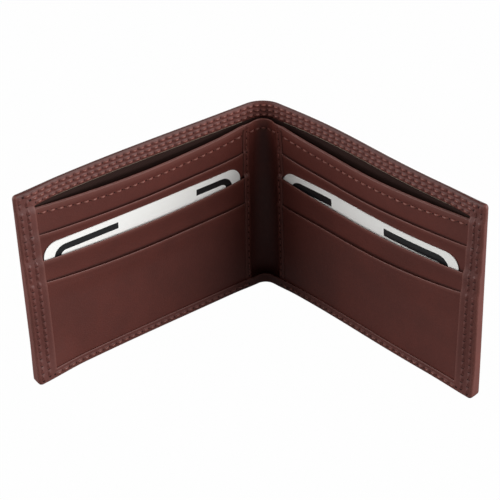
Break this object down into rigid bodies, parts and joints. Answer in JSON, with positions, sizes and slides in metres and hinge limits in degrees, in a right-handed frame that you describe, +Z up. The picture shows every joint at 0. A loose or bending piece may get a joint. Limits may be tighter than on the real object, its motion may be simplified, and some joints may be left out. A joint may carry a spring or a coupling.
{
  "type": "bifold wallet",
  "caption": "Two-leaf leather wallet, half open on its long edges, with a bill compartment, stepped card slots and a card in each leaf.",
  "frame": {"origin": "middle of the footprint's bounding box, on the ground plane", "axes": "+Z up along the spine, +Y towards the spine, +X to the right leaf seen from inside"},
  "size_m": [0.1626, 0.0724, 0.0805],
  "materials": {
    "shell_leather": "smooth, slightly waxed, brown",
    "pocket_leather": "smooth, slightly waxed, reddish brown",
    "lining_fabric": "dark woven lining",
    "board": "bonded leather board",
    "card_stock": "white coated card with a black outline band"
  },
  "bodies": {
    "spine": {"spine_shell": "shell_leather", "spine_lining": "lining_fabric", "spine_bill_divider": "pocket_leather"},
    "left_leaf": {"left_shell": "shell_leather", "left_stiffener": "board", "left_lining": "lining_fabric", "left_bill_divider": "pocket_leather", "left_card_panel": "pocket_leather", "left_upper_pocket": "pocket_leather", "left_middle_pocket": "pocket_leather", "left_front_pocket": "pocket_leather"},
    "right_leaf": {"right_shell": "shell_leather", "right_stiffener": "board", "right_lining": "lining_fabric", "right_bill_divider": "pocket_leather", "right_card_panel": "pocket_leather", "right_upper_pocket": "pocket_leather", "right_middle_pocket": "pocket_leather", "right_front_pocket": "pocket_leather"},
    "left_card": {"left_display_card": "card_stock"},
    "right_card": {"right_display_card": "card_stock"}
  },
  "joints": [
    {"name": "left_fold", "type": "hinge", "parent": "spine", "child": "left_leaf", "pos_m": [-0.00636, 0.03338, 0.04025], "axis": [0, 0, 1], "range_deg": [-41.5, 49]},
    {"name": "right_fold", "type": "hinge", "parent": "spine", "child": "right_leaf", "pos_m": [0.00636, 0.03338, 0.04025], "axis": [0, 0, -1], "range_deg": [-41.5, 49]},
    {"name": "left_card_slide", "type": "slide", "parent": "left_leaf", "child": "left_card", "axis": [0, 0, 1], "range_m": [0, 0.06]},
    {"name": "right_card_slide", "type": "slide", "parent": "right_leaf", "child": "right_card", "axis": [0, 0, 1], "range_m": [0, 0.06]}
  ],
  "couplings": [
    {"joint": "right_fold", "follows": "left_fold", "ratio": 1}
  ]
}
